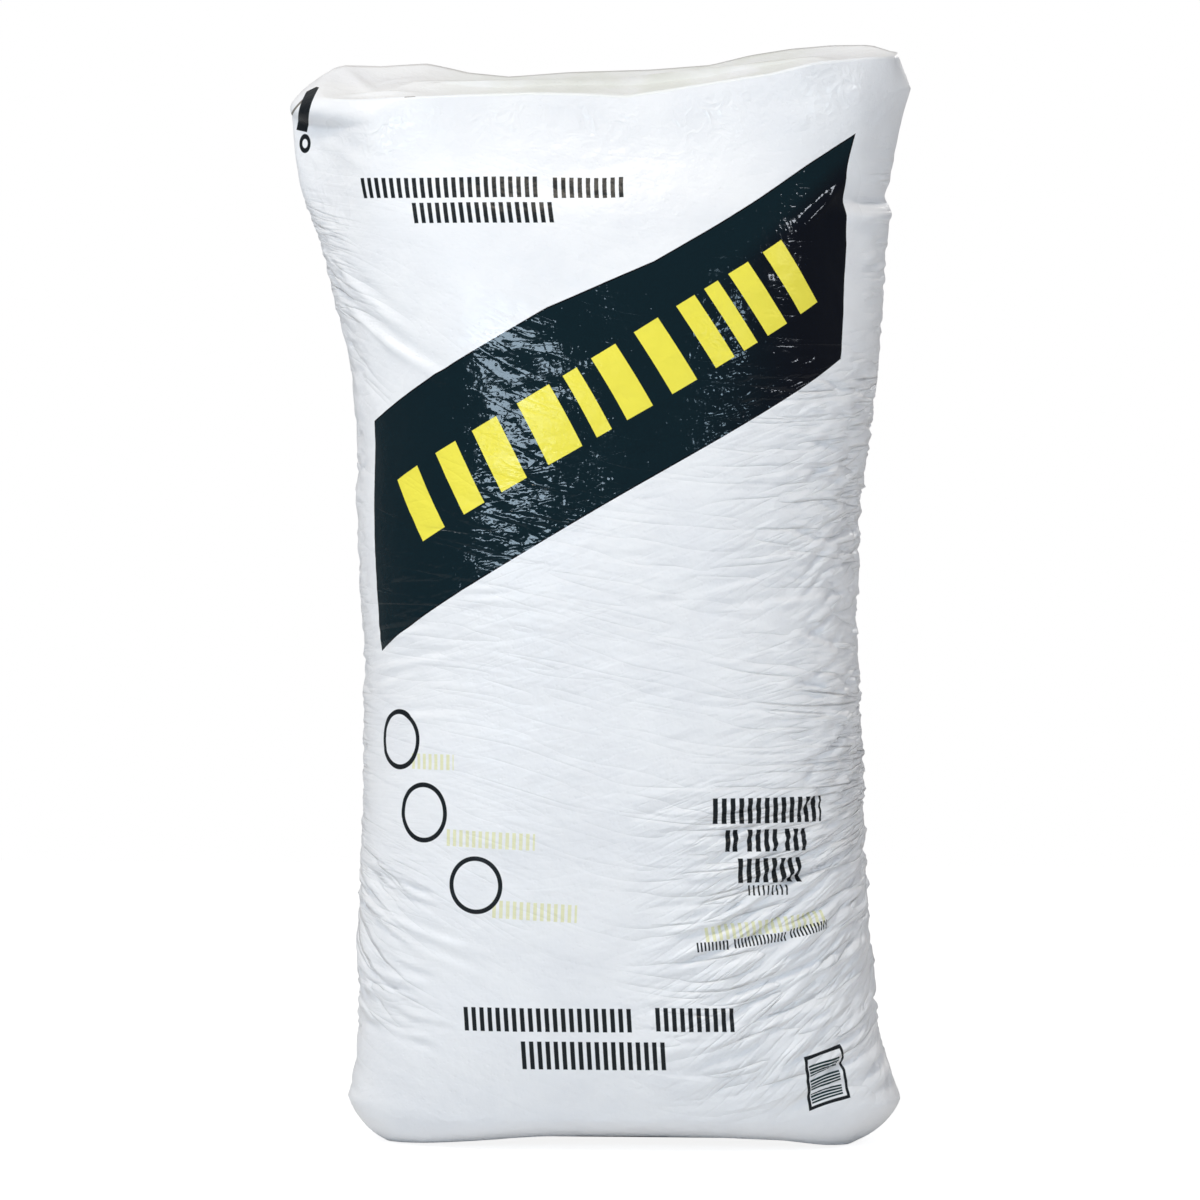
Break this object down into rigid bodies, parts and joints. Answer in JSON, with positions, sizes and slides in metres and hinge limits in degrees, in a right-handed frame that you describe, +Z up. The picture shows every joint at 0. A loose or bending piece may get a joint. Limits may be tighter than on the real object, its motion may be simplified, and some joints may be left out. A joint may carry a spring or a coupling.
{
  "type": "filled film bag of vermiculite",
  "caption": "Tall plastic film bag filled tight with loose granules, with folded ends and a valve ear, standing on its base.",
  "frame": {"origin": "on the floor under the middle of the folded base", "axes": "+Z up along the tube, front panel with the slanting band towards -Y, valve ear towards -X"},
  "size_m": [0.5718, 0.3159, 1.0156],
  "materials": {
    "bag_film": "white polyethylene film with a satin to semi-gloss face and dark green, yellow and black print"
  },
  "bodies": {
    "root": {"filled_bag": "bag_film"}
  },
  "joints": []
}
